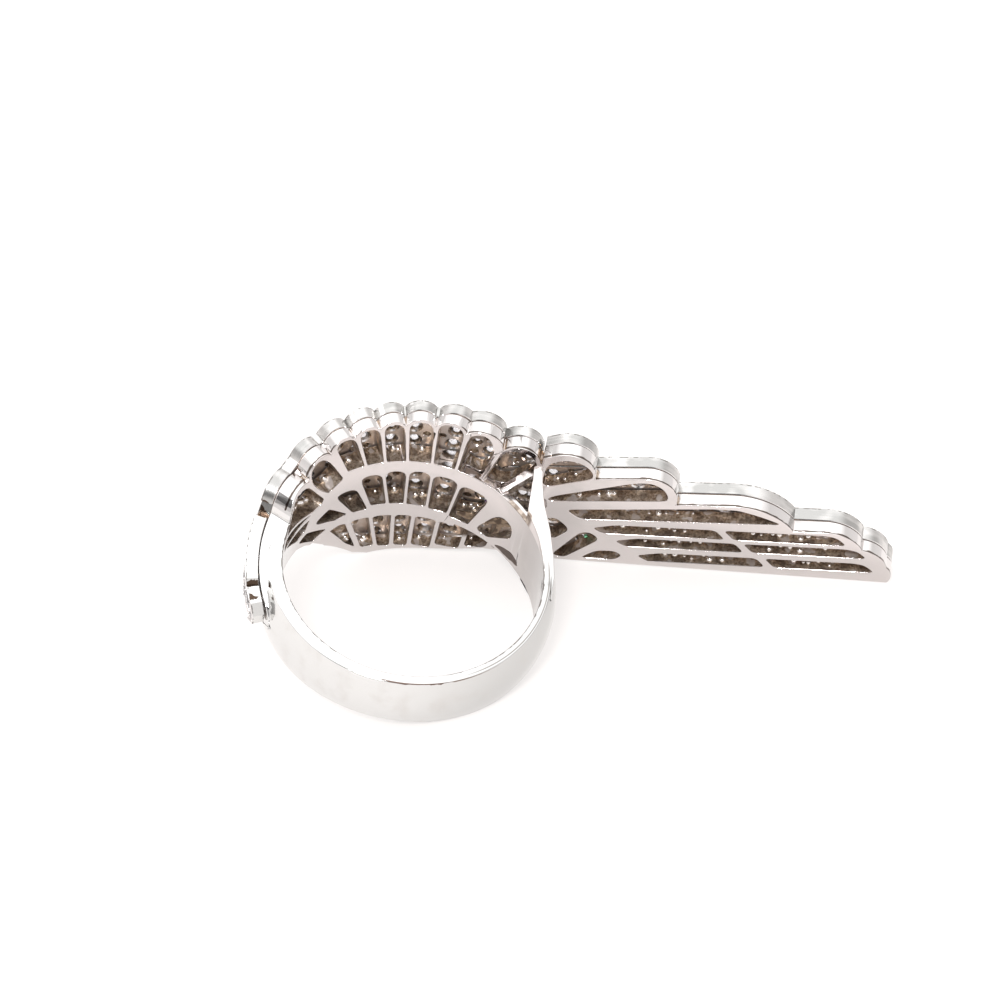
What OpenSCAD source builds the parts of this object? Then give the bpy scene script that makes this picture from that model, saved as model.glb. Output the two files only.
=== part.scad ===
// A wing-shaped finger ring in white gold, lying on a table as it rests by itself.
// It is drawn in the finger's frame: the finger along Z, the band's upper rim at Z = 0, the head of the
// wing at +Y and its tip at +X. Angles run round the finger from +X towards +Y.

/* [Finger] */
// Inside diameter of the finger hole
finger_d = 17.3; // [16.5:0.1:18]
// Width of the band, measured across the middle of the finger hole
band_w = 4.9; // [4.6:0.05:5.1]
// Slant of the band's lower rim, which narrows the band towards the palm, in degrees
band_taper = 7.2; // [5:0.1:8]
// Slant of the band's lower rim, which narrows the band towards the left shoulder, in degrees
band_lean = 1.2; // [0:0.1:2]
// Thickness of the band at its crown
band_t = 1.3; // [1.15:0.05:1.3]
// Radius of the band's rounded outer face, across its width
band_crown_r = 5.2; // [4.6:0.1:7]
// How much further the band bulges towards the left shoulder than towards the right
shoulder_shift = 0.2; // [0.1:0.05:0.2]

/* [Gallery] */
// Thickness of the gallery of the straight wing
gallery_t = 1.05; // [1.05:0.05:1.2]
// How far the gallery's inner face stands outside the finger hole on the straight wing
gallery_clear = 0.45; // [0.45:0.05:0.5]
// How far the upper row flares outwards, for each millimetre of height
flare = 0.19; // [0.1:0.01:0.22]
// Width of a rib
rib_w = 0.3; // [0.26:0.01:0.4]
// Width of the rim around the gallery's windows
rim_w = 0.27; // [0.24:0.01:0.4]

/* [Feather plates] */
// Gap at every seam between two pieces
seam = 0.08; // [0.05:0.01:0.12]
// Thickness of the thinnest feather plate
plate_t = 0.85; // [0.7:0.05:1]
// How much each tier of coverts stands above the next one
tier_step = 0.12; // [0.05:0.01:0.15]
// How much each long feather stands above the next one
feather_step = 0.06; // [0.03:0.01:0.07]

/* [Leading edge] */
// Drop of the leading edge below the band's upper rim, at the head's corner
edge_drop = 11; // [10.8:0.05:11.2]
// Rise of the leading edge for each millimetre towards the tip
edge_rise = 0.18; // [0.175:0.001:0.185]

/* [Pose] */
// Whether the ring lies as it rests on a table, or is turned so that the finger is along Z
drawn_as_it_rests = true; // [true, false]

/* [Hidden] */
$fn = 96;

finger_r = finger_d / 2;
back_r = finger_r + gallery_clear;
seam_r = back_r + gallery_t;
// Radius inside the finger hole where the prisms that point away from the finger start
inside_r = 7;
head_top = 5;
head_bottom = -12;
// Height under the head where the finger hole widens to the gallery's inner face
hollow_top = -band_w - 1.4;
wing_end = 34;
// Size of the cuts that reach past everything
big = 60;

// Where the head's lower corner rests, and the end of the leading edge that rests at the tip
head_corner = -3.4;
tip_corner = 32.05;
// Where the curved head runs over into the straight wing
head_end = 2.2;
// Where the left side of the head is outlined from the side instead of from above
side_start = -6.3;

// How far the foot of a window between two ribs is rounded
foot_round = 0.25;
// Ribs of the three rows, right to left: [angle at the foot, angle at the top]
upper_ribs = [[68, 65], [79, 78], [90, 91], [101, 103], [111, 113.5], [120, 124.5], [129.5, 136], [139, 149]];
middle_ribs = [[68.2, 60.2], [79, 76], [89, 89], [99, 100], [107, 111], [115.5, 122.5], [124, 134.5]];
lower_ribs = [[72, 70], [84, 83], [94, 94], [101.5, 103], [108.5, 113.5], [116, 124]];
// Heights of the windows between the middle ribs, right to left: [foot, top]
middle_cells = [[-5.2, -1.35], [-4.95, -1.15], [-4.8, -1.05], [-4.75, -1.1], [-4.75, -1.25], [-5.1, -2.3]];
// Heights of the windows between the lower ribs
lower_cell_feet = [-9.5, -10, -10.2, -10.3, -10.2];
lower_cell_top = -6.1;
// Height of each scallop's top on the curved head, right to left, from the second upper rib
scallop_tops = [3.9, 3.75, 3.55, 3.4, 3.15, 2.65];

// Long feathers, from the shortest to the leading one: [tip centre x, tip centre z, tip radius, angle]
feathers = [
    [9.1, 1.15, 1.85, 32.5],
    [14.8, 0.05, 1.9, 16],
    [21.4, -3.75, 4.5, 14],
    [27.5, -2.95, 2.6, 12.4],
    [29.8, -3.65, 2.0, 11.5],
    [31.0, -4.05, 1.2, 11]
];

// Slots under the three leading feathers: [left x, left z, right x, height, x of the strut]
slots = [
    [12.3, -4.85, 28.6, 1.0, 20.4],
    [14.0, -5.85, 30.2, 0.95, 21.9],
    [15.7, -7.05, 31.0, 0.95, 23.6]
];

// How far the leading edge arches up between the head's corner and the straight wing: [x, lift]
edge_arch = [[-0.5, 0.05], [2.2, 0.25], [4.5, 0.6], [7, 0.4], [9.6, 0]];

function edge_z(x) = -edge_drop + edge_rise * (x - head_corner);

// Feather tips of the plates' middle and lower tiers round the head: [angle, half of its width, top]
middle_tips = [
    [94.5, 5.9, -0.3], [105.5, 5.9, -0.35], [116.7, 6.1, -0.6], [128.5, 6.3, -1.4], [140.5, 6.1, -2.5],
    [152, 5.8, -3.1]
];
lower_tips = [[98.5, 5.3, -5.25], [108.2, 5.3, -5.35], [118.8, 5.7, -5.5], [130, 5.9, -5.75], [141, 5.4, -5.9]];
// Feather tips of the same tiers, and of the wrist, on the straight wing: [x, z of the top, radius]
middle_flat_tips = [[0.9, -0.3, 1.25], [3.3, -0.35, 1.35], [5.9, -0.6, 1.5], [8.3, -1.9, 1.25]];
lower_flat_tips = [[0.1, -5.2, 1.1], [2.1, -5.2, 1.15], [4.3, -5.2, 1.2], [6.5, -5.15, 1.2]];
wrist_tips = [[9.2, -4.5, 1.25], [11.1, -5.15, 1.15], [13.0, -6.2, 1.1]];
// Where the long feathers start
primary_root = 7.3;
// Notches between the feathers that wrap round the left shoulder: [angle, z, width across its corners]
side_notches = [[168, 0.35, 1.0], [197, -0.5, 0.6]];

// Depth of the right shoulder's post below the band's upper rim, and the slope of its top
post_h = 5;
function post_top(y) = -0.2 + 0.17 * y;

// The band's outer radius at a height
function band_r(z) = finger_r + band_t - band_crown_r + sqrt(pow(band_crown_r, 2) - pow(z + band_w / 2, 2));

// Height of the band's slanted lower rim, and the point of its outer corner at an angle
function rim_z(x, y) = -band_w - tan(band_lean) * x - tan(band_taper) / cos(band_lean) * y;
function rim_point(angle) =
    let (r = band_r(rim_z(finger_r * cos(angle), finger_r * sin(angle))),
         x = r * cos(angle) - shoulder_shift, y = r * sin(angle))
    [x, y, rim_z(x, y)];

// The ring rests on the head's corner, the wing's tip and the lowest point of the band's lower rim
head_contact = [head_corner, sqrt(pow(back_r, 2) - pow(head_corner, 2)), edge_z(head_corner)];
tip_contact = [tip_corner, back_r, edge_z(tip_corner)];
function table_normal(angle) =
    let (n = cross(tip_contact - rim_point(angle), head_contact - rim_point(angle))) n / norm(n);
function lowest_angle(angle, rounds) =
    let (n = table_normal(angle), slope_x = n[0] - n[2] * tan(band_lean), slope_y = n[1] - n[2] * tan(band_taper))
    rounds == 0 ? angle : lowest_angle(atan2(-slope_y, -slope_x), rounds - 1);
rest_normal = table_normal(lowest_angle(-50, 6));

// Width of the finger hole's wall where it is narrowest
bore_w = -rim_z(0, -finger_r);

// A corner at b between a and c, rounded over the length t by a Bezier curve
function corner(a, b, c, t) =
    let (ua = (a - b) / norm(a - b), uc = (c - b) / norm(c - b),
         ta = min(t, norm(a - b) * 0.48), tc = min(t, norm(c - b) * 0.48))
    [for (s = [0:0.25:1]) pow(1 - s, 2) * (b + ua * ta) + 2 * s * (1 - s) * b + pow(s, 2) * (b + uc * tc)];

// An outline with every corner rounded over t, which is one length or a list with one for each corner
function rounded(p, t) = [
    for (i = [0:len(p) - 1])
        each corner(p[(i + len(p) - 1) % len(p)], p[i], p[(i + 1) % len(p)], is_list(t) ? t[i] : t)
];

// Prism of a flat (x, z) outline from y0 to y1
module along_y(y0, y1) {
    translate([0, y1, 0]) rotate([90, 0, 0]) linear_extrude(y1 - y0) children();
}

// Prism of a flat (y, z) outline from x0 to x1
module along_x(x0, x1) {
    translate([x0, 0, 0]) rotate([90, 0, 90]) linear_extrude(x1 - x0) children();
}

// Prism of a flat (tangent, z) outline that points away from the finger's axis
module outward(angle, r0, r1) {
    rotate([0, 0, angle]) along_x(r0, r1) children();
}

// Hole through the head, with its corners given as [angle, z] on the finger's side
module head_window(corners, round_by, r1 = seam_r + 2) {
    middle = (min([for (c = corners) c[0]]) + max([for (c = corners) c[0]])) / 2;
    outline = [for (c = corners) [back_r * sin(c[0] - middle), c[1]]];
    outward(middle, inside_r, r1) polygon(rounded(outline, round_by));
}

// Hole between two neighbouring ribs of a row, nearly square at its foot
module cell(right, left, foot_z, top_z, round_by) {
    half = rib_w / 2 / back_r * 180 / PI;
    head_window([
        [right[0] + half, foot_z], [left[0] - half, foot_z], [left[1] - half, top_z], [right[1] + half, top_z]
    ], [foot_round, foot_round, round_by, round_by]);
}

// Hole through the straight wing, with its corners given as [x, z]
module wing_window(corners, round_by) {
    along_y(back_r - 0.05, seam_r + 2) polygon(rounded(corners, round_by));
}

// Upright wall from a to b, both [x, y, z of the top]
module blade(a, b, width, drop_a, drop_b) {
    run = [b[0] - a[0], b[1] - a[1]];
    long = norm(run);
    translate([a[0], a[1], 0]) rotate([0, 0, atan2(run[1], run[0])]) translate([0, width / 2, 0])
        rotate([90, 0, 0]) linear_extrude(width)
            polygon([[0, a[2]], [0, a[2] - drop_a], [long, b[2] - drop_b], [long, b[2]]]);
}

// The right shoulder's post, with a top that rises towards the wing, and the two upright ribs beside it
module right_shoulder() {
    blade([4.85, 7.45, 0.1], [7.2, back_r + 0.2, 1.2], 0.55, 0.8, 0.8);
    blade([3.45, 8.2, 0.15], [4.4, back_r + 0.2, 2.1], 0.3, 0.5, 0.5);
    intersection() {
        translate([0, 0, -post_h]) linear_extrude(2 * post_h) polygon([
            [6.75, back_r + 0.2], [6.8, 7.9], [6.85, 5.2], [7.3, 4.2], [8.2, 1.5], [8.8, -0.5],
            [9.3, -0.5], [9.3, 1.2], [9.05, 2.6], [8.55, 4.5], [7.9, 6.3], [7.45, 8], [7.3, back_r + 0.2]
        ]);
        along_x(0, big)
            polygon([[-1, -post_h], [-1, post_top(-1)], [seam_r, post_top(seam_r)], [seam_r, -post_h]]);
    }
}

// The band's section, from the bore out to the rounded face
module band_section() {
    intersection() {
        translate([finger_r + band_t - band_crown_r, -band_w / 2]) circle(band_crown_r);
        translate([inside_r, hollow_top]) square([big, -hollow_top]);
    }
}

// The band and its continuation round the finger, as one ring with a slanted lower rim
module band_ring() {
    difference() {
        translate([-shoulder_shift, 0, 0]) rotate_extrude() band_section();
        translate([0, 0, -band_w]) rotate([-band_taper, band_lean, 0]) translate([-big / 2, -big / 2, -big])
            cube([big, big, big]);
    }
}

// Everything inside the gallery's inner face: the finger hole and the flare above it
module finger_space() {
    rotate_extrude() polygon([
        [0, head_bottom - 1], [back_r, head_bottom - 1], [back_r, hollow_top], [finger_r, hollow_top],
        [finger_r, 0.05], [finger_r + flare * head_top, head_top + 0.05], [0, head_top + 0.05]
    ]);
    translate([0, 0, head_bottom - 1]) cube([head_end + 1, back_r, hollow_top - head_bottom + 1]);
}

// Section of the gallery across the finger, without the finger hole
module gallery_section() {
    difference() {
        circle(seam_r);
        translate([0, -big / 2]) square(big);
    }
    translate([0, inside_r]) square([head_end, seam_r - inside_r]);
    translate([head_end - 1, back_r]) square([wing_end - head_end + 1, gallery_t]);
}

// A long feather and all that lies between it and the leading edge, grown all round by the given width
module feather_outline(f, root_x, grow = 0) {
    along = [cos(f[3]), sin(f[3])];
    tip = [f[0], f[1]];
    radius = f[2] + grow;
    shoulder = tip + radius * [-sin(f[3]), cos(f[3])];
    root = shoulder - along * (shoulder[0] - root_x) / along[0];
    translate(tip) circle(radius);
    polygon([shoulder, root, [root_x, head_bottom - 1], [tip[0], head_bottom - 1], tip]);
}

module below_leading_edge() {
    polygon([
        [head_corner, head_bottom - 1], [head_corner, edge_z(head_corner)],
        for (a = edge_arch) [a[0], edge_z(a[0]) + a[1]],
        [wing_end + 2, edge_z(wing_end + 2)], [wing_end + 2, head_bottom - 1]
    ]);
}

// Outline of the head and the straight wing, seen from above
module top_outline() {
    difference() {
        union() {
            for (f = feathers) feather_outline(f, primary_root - seam / 2);
            polygon([
                [side_start - 0.2, 2.35], [-3.6, 2.95], [0, 3.2], [head_end, 2.9], [4.2, 2.35], [7.2, 1.6],
                [8, 0], [28, -3], [28, edge_z(28)], [head_corner, edge_z(head_corner)], [-4.4, -10.6],
                [side_start - 0.2, -8.25]
            ]);
            translate([5.7, 1.4]) circle(1.45);
            translate([2.95, 2.1]) circle(1.6);
        }
        below_leading_edge();
    }
}

// Outline of the left side of the head, seen from the left: the first number is y
module side_outline() {
    polygon([
        [10.5, 2.35], [6.6, 2.35], [4.6, 1.3], [3, 0.4], [0, 0], [-4.6, -0.9], [-5.2, -1.5], [-5.2, -2.3],
        [-4.5, -2.9], [0, -3.7], [2.05, -4.3], [4.3, -5.8], [5.6, -7.1], [6.6, -8.4], [10.5, -8.4]
    ]);
}

// The scallops of the curved head's upper rim
module scallops() {
    for (i = [1:len(upper_ribs) - 2]) {
        right = upper_ribs[i][1];
        left = upper_ribs[i + 1][1];
        reach = back_r * sin((left - right) / 2) + 0.12;
        top = scallop_tops[i - 1];
        outward((left + right) / 2, inside_r, seam_r + 2) {
            translate([0, top - reach * 1.15]) circle(reach * 1.15);
            translate([-reach, 0]) square([2 * reach, top - reach]);
        }
    }
    outward(157, inside_r, seam_r + 2) translate([0, -0.4]) circle(2.05);
}

// Everything inside the wing's outline: cut from above round its front, and from the left on its left side
module whole_outline() {
    intersection() {
        along_y(0, seam_r + 3) top_outline();
        translate([side_start, -big / 2, -big / 2]) cube(big);
    }
    intersection() {
        along_x(-seam_r - 3, 0) side_outline();
        translate([side_start - big, -big / 2, -big / 2]) cube(big);
    }
    scallops();
}

// The windows of the curved head, in three rows
module head_windows() {
    for (i = [1:len(upper_ribs) - 3])
        cell(upper_ribs[i], upper_ribs[i + 1], 0.02, scallop_tops[i - 1] - rim_w, 0.75);
    for (i = [0:len(middle_ribs) - 2])
        cell(middle_ribs[i], middle_ribs[i + 1], middle_cells[i][0], middle_cells[i][1], 0.7);
    for (i = [0:len(lower_ribs) - 2])
        cell(lower_ribs[i], lower_ribs[i + 1], lower_cell_feet[i], lower_cell_top, 0.3);
    left_windows();
    right_windows();
}

// The uneven windows of the left side, where the rows run together: corners as [angle, z]
module left_windows() {
    head_window([[131.2, -0.6], [138, -1.4], [143.4, -0.45], [149.2, 1.1], [148.6, 2.3], [140, 2.4]],
        [0.25, 0.3, 0.8, 0.6, 0.7, 1.6]);
    head_window([[140.5, -2], [152, 1], [160.5, 1.35], [165, 0.6], [172, -0.7], [160, -1.55], [146, -2.4]], 0.5);
    head_window([[148.5, -2.55], [161, -1.8], [174, -1.0], [174, -2.1], [161, -2.6]], 0.25);
    head_window([[149, -3.0], [160, -2.85], [170, -2.5], [158, -4.0], [152, -4.0]], 0.3);
    head_window([[126.3, -5.05], [136.6, -3.45], [143.6, -4.05], [141.9, -4.45], [132, -5.2]], 0.2);
    head_window([[136.8, -5.75], [150, -4.4], [155.5, -4.6], [144.4, -6.1]], 0.25);
    head_window([[118, -10], [122.5, -9.3], [134.6, -6.3], [129.3, -6], [125.8, -6.2]], 0.2);
}

// The uneven windows of the right side, beside the band
module right_windows() {
    head_window([[69, 0.02], [78, 0.02], [77, 3.05], [73.5, 3.42], [70, 3.4], [66.8, 2.6]],
        [0.25, 0.25, 0.6, 0.6, 0.6, 0.5]);
    head_window([
        [64.5, -5.15], [59, -5.35], [53, -4.5], [45.6, -3.3], [46.3, -2.05], [52.8, -2.05], [57.3, -2.9]
    ], 0.5);
    // A blind recess under the lower rail
    head_window([[54, -5.5], [49.4, -5.0], [42.7, -4.55], [37.4, -4.8], [38.1, -5.15], [45, -5.4]], 0.3,
        finger_r + 0.6);
}

// The windows of the straight wing
module wing_windows() {
    // Under the two last scallops of the upper rim
    wing_window([[2.35, 0], [3.45, -0.5], [4.0, 2.0], [3.4, 2.75], [2.35, 2.8]], 0.5);
    wing_window([
        [3.75, -0.8], [4.6, -1.25], [5.3, -1.1], [7.0, 0.75], [6.95, 1.5], [6.5, 2.2], [5.7, 2.5], [4.65, 2.1]
    ], 0.4);
    // Beside the post
    wing_window([[5.3, -1.9], [6.85, -0.3], [7.1, -4.5], [6.4, -4.2]], 0.3);
    // Lower row beside the curved head
    wing_window([[3.15, -9.1], [4.6, -8.8], [5.1, -6.1], [3.4, -6.1]], 0.3);
    wing_window([[5.0, -8.7], [6.7, -8.4], [7.2, -6.1], [5.5, -6.1]], 0.3);
    // The first two long feathers
    wing_window([[7.5, -1.0], [11.0, 1.0], [10.4, 2.15], [9.1, 2.6], [7.6, 1.8]], 0.9);
    wing_window([[8.1, -2.35], [16.2, 0.0], [15.7, 1.15], [14.7, 1.6], [13.6, 1.25], [8.3, -1.8]], 0.6);
    wing_window([[9.5, -2.95], [10.6, -3.7], [24.0, -0.35], [22.4, 0.1], [20.8, 0.35], [19.2, 0.0]], 0.5);
    for (s = slots) split_slot(s);
    // Three short feathers over the roots of the long ones
    wing_window([[8.4, -6.2], [9.1, -6.4], [9.95, -5.3], [9.8, -4.8], [9.0, -4.1], [8.4, -4.2]], 0.4);
    wing_window([[9.2, -8.3], [10.1, -8.3], [12.2, -5.6], [11.5, -5.0], [10.8, -5.2]], 0.5);
    wing_window([[11.2, -8.0], [13.4, -7.6], [14.0, -7.0], [13.4, -6.6], [12.2, -6.9]], 0.4);
}

// A long slot with slanted ends, split by a slanted strut
module split_slot(s) {
    lean = 0.75;
    slope = tan(12);
    strut = 0.3;
    function at(x, up) = [x, s[1] + (x - s[0]) * slope + up];
    h = s[3];
    wing_window([at(s[0] - lean, lean * 0.75), at(s[0], 0), at(s[4] + h * 0.4 - strut, 0),
        at(s[4] - h * 0.4 - strut, h), at(s[0] + lean, h)], 0.35);
    wing_window([at(s[4] - h * 0.4 + strut, h), at(s[4] + h * 0.4 + strut, 0), at(s[2], 0),
        at(s[2] - lean, h * 0.8), at(s[2] - 2 * lean, h)], 0.35);
}

// The band, the gallery behind the feathers and the right shoulder, cast and soldered into one piece
module shank_and_gallery() {
    color("gainsboro") {
        difference() {
            union() {
                band_ring();
                intersection() {
                    translate([0, 0, head_bottom]) linear_extrude(head_top - head_bottom) gallery_section();
                    whole_outline();
                }
            }
            finger_space();
            head_windows();
            wing_windows();
        }
        difference() {
            right_shoulder();
            finger_space();
        }
    }
}

// Outlines of the tiers that lie over the gallery, each with all that lies between it and the leading edge

// Feather tips round the curved head: rows of [angle, half of the angle between its sides, top]
module round_tips(rows, thickness, grow) {
    for (row = rows) {
        reach = (seam_r + seam + thickness) * sin(row[1]) + 0.06 + grow;
        outward(row[0], inside_r, seam_r + 3) {
            translate([0, row[2] + grow - reach * 1.1]) circle(reach * 1.1);
            translate([-reach, head_bottom - 1]) square([2 * reach, row[2] + grow - reach - head_bottom + 1]);
        }
    }
}

// Feather tips on the straight wing: rows of [x, z of the top, radius]
module flat_tips(rows, grow) {
    along_y(seam_r, seam_r + 3) for (row = rows) {
        translate([row[0], row[1] - row[2]]) circle(row[2] + grow);
        translate([row[0] - row[2] - grow, head_bottom - 1])
            square([2 * (row[2] + grow), row[1] - row[2] - head_bottom + 1]);
    }
}

module middle_outline(grow) {
    round_tips(middle_tips, plate_t + tier_step, grow);
    flat_tips(middle_flat_tips, grow);
}

module lower_outline(grow) {
    round_tips(lower_tips, plate_t + 2 * tier_step, grow);
    flat_tips(lower_flat_tips, grow);
}

module wrist_outline(grow) {
    flat_tips(wrist_tips, grow);
}

// Space over the gallery's outer face up to the given thickness, round the head and along the wing
module over_gallery(thickness) {
    inner = seam_r + seam;
    translate([0, 0, head_bottom]) linear_extrude(head_top - head_bottom) {
        difference() {
            circle(inner + thickness);
            circle(inner);
            translate([0, -big / 2]) square(big);
        }
        translate([0, inner]) square([wing_end, thickness]);
    }
}

// The tier nearest the leading edge
module covert_tier_1() {
    color("gainsboro") difference() {
        intersection() {
            over_gallery(plate_t + 2 * tier_step);
            whole_outline();
            lower_outline(0);
        }
        wrist_outline(seam);
    }
}

// The tier over the finger
module covert_tier_2() {
    color("whitesmoke") difference() {
        intersection() {
            over_gallery(plate_t + tier_step);
            whole_outline();
            middle_outline(0);
        }
        lower_outline(seam);
        wrist_outline(seam);
    }
}

// The tier of the scalloped upper rim
module covert_tier_3() {
    color("gainsboro") difference() {
        intersection() {
            over_gallery(plate_t);
            whole_outline();
            translate([primary_root - seam - big, -big / 2, -big / 2]) cube(big);
        }
        middle_outline(seam);
        lower_outline(seam);
        for (n = side_notches)
            outward(n[0], seam_r, seam_r + 3) translate([0, n[1]]) rotate(45) square(n[2], center = true);
    }
}

// Three short feathers over the roots of the long ones
module wrist_coverts() {
    color("whitesmoke") intersection() {
        over_gallery(plate_t + 3 * tier_step);
        whole_outline();
        wrist_outline(0);
    }
}

// A long feather: the first is the shortest, and the last lies along the leading edge
module primary(i) {
    color(i % 2 == 0 ? "whitesmoke" : "gainsboro") difference() {
        intersection() {
            over_gallery(plate_t + i * feather_step);
            along_y(seam_r, seam_r + 3) feather_outline(feathers[i], primary_root - 1);
            translate([primary_root, 0, -big / 2]) cube(big);
        }
        along_y(seam_r, seam_r + 3) below_leading_edge();
        if (i < len(feathers) - 1)
            along_y(seam_r, seam_r + 3) feather_outline(feathers[i + 1], primary_root - 1, seam);
        middle_outline(seam);
        lower_outline(seam);
        wrist_outline(seam);
    }
}

// Turns the ring from the finger's frame to the way it rests on a table
module as_it_rests() {
    if (drawn_as_it_rests)
        rotate(a = acos(rest_normal[2]), v = cross(rest_normal, [0, 0, 1])) translate([0, 0, bore_w / 2])
            children();
    else
        children();
}

as_it_rests() shank_and_gallery();
as_it_rests() covert_tier_1();
as_it_rests() covert_tier_2();
as_it_rests() covert_tier_3();
as_it_rests() wrist_coverts();
as_it_rests() primary(0);  // primary_1
as_it_rests() primary(1);  // primary_2
as_it_rests() primary(2);  // primary_3
as_it_rests() primary(3);  // primary_4
as_it_rests() primary(4);  // primary_5
as_it_rests() primary(5);  // primary_6
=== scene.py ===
"""Finger ring shaped as a spread wing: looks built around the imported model, in metres."""
import math

import bmesh
import bpy
import numpy as np
from mathutils import Matrix, Vector
from mathutils.bvhtree import BVHTree
from mathutils.geometry import delaunay_2d_cdt


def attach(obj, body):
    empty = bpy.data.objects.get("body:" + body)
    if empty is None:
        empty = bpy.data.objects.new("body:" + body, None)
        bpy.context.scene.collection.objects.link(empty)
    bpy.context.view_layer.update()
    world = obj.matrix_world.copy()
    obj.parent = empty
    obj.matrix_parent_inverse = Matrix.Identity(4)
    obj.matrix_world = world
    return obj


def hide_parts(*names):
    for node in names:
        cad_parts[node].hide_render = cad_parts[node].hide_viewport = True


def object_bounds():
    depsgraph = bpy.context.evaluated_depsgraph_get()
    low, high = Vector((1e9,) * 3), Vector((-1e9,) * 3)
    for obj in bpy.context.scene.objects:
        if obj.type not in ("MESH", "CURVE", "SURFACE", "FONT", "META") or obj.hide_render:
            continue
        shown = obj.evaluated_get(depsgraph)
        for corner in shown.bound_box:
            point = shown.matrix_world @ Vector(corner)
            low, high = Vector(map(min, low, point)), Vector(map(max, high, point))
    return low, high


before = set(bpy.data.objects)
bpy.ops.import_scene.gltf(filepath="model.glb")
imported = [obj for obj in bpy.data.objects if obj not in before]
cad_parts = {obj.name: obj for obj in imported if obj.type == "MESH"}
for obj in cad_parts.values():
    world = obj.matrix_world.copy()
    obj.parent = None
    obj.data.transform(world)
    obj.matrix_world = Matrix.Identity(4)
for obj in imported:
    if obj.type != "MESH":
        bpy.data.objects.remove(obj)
cad_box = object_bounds()

MM = 0.001

# The ring's own frame, in mm: the finger hole's axis is Z, the wing reaches out along X, the head looks to
# Y. Distances outwards are from the axis on the head, where X is below 0, and along Y on the wing.
TABLE_NORMAL = Vector((-0.174214, 0.304676, 0.936388))
BORE_MIDDLE = 1.9035
TO_ROW = TABLE_NORMAL.rotation_difference(Vector((0, 0, 1))).to_matrix()
TURN = np.array(TO_ROW)
BORE_RADIUS = 8.65
WINDOW_MIDDLE = 9.7
PLATE_BACK = 10.23


def to_row(points):
    """Points of the ring's own frame, in mm, as points of the row frame, in metres."""
    return (np.asarray(points, float) + (0, 0, BORE_MIDDLE)) @ TURN.T * MM


def to_ring(points):
    """Points of the row frame, in metres, as points of the ring's own frame, in mm."""
    return np.asarray(points, float) / MM @ TURN - (0, 0, BORE_MIDDLE)


def direction_to_row(vectors):
    """Directions of the ring's own frame, turned to the row frame."""
    return np.asarray(vectors, float) @ TURN.T


UPWARD = Vector(direction_to_row((0, 0, 1)))


def in_scene(name, data):
    """An object in the scene for a mesh, a camera or a light."""
    made = bpy.data.objects.new(name, data)
    bpy.context.scene.collection.objects.link(made)
    return made


# Colours and nodes

def linear(hex_colour):
    """An sRGB hex colour as the linear colour that shaders take."""
    value = hex_colour.lstrip("#")
    parts = [int(value[i:i + 2], 16) / 255 for i in (0, 2, 4)]
    return tuple(p / 12.92 if p <= 0.04045 else ((p + 0.055) / 1.055) ** 2.4 for p in parts) + (1.0,)


def add(tree, kind, inputs=None, **settings):
    """Adds a node with its settings; an input takes a value, a socket, or a node for its first output."""
    made = tree.nodes.new(kind)
    for name, value in settings.items():
        setattr(made, name, value)
    for name, value in (inputs or {}).items():
        socket = made.inputs[name]
        if not socket.enabled:
            socket = next(s for s in made.inputs if s.name == name and s.enabled)
        if isinstance(value, bpy.types.Node):
            value = next(s for s in value.outputs if s.enabled)
        if isinstance(value, bpy.types.NodeSocket):
            tree.links.new(value, socket)
        else:
            socket.default_value = value
    return made


# Light and view

def place_camera():
    """The photograph's camera, in the ring's frame, found from the finger hole's rims."""
    elevation = math.radians(54.1)
    roll = math.radians(10.2)
    distance = 250.0
    pixels_per_mm = 15.17
    picture = 1000.0
    ring_in_picture = Vector((413.6, 567.0))
    film = 36.0
    across = Vector((1, 0, 0))
    upward = Vector((0, math.sin(elevation), math.cos(elevation)))
    forward = Vector((0, math.cos(elevation), -math.sin(elevation)))
    right = across * math.cos(roll) + upward * math.sin(roll)
    up = -across * math.sin(roll) + upward * math.cos(roll)
    focal_pixels = pixels_per_mm * distance
    aim = (forward * focal_pixels + right * (picture / 2 - ring_in_picture.x)
           + up * (ring_in_picture.y - picture / 2)).normalized()
    side = aim.cross(up).normalized()
    top = side.cross(aim)
    turn = Matrix((side, top, -aim)).transposed()
    camera = in_scene("camera", bpy.data.cameras.new("camera"))
    camera.data.sensor_width = film
    camera.data.lens = focal_pixels / picture * film
    camera.data.clip_start = 0.01
    camera.data.clip_end = 20.0
    camera.matrix_world = Matrix.Translation(Vector(to_row(-forward * distance))) @ (TO_ROW @ turn).to_4x4()
    bpy.context.scene.camera = camera


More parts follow.
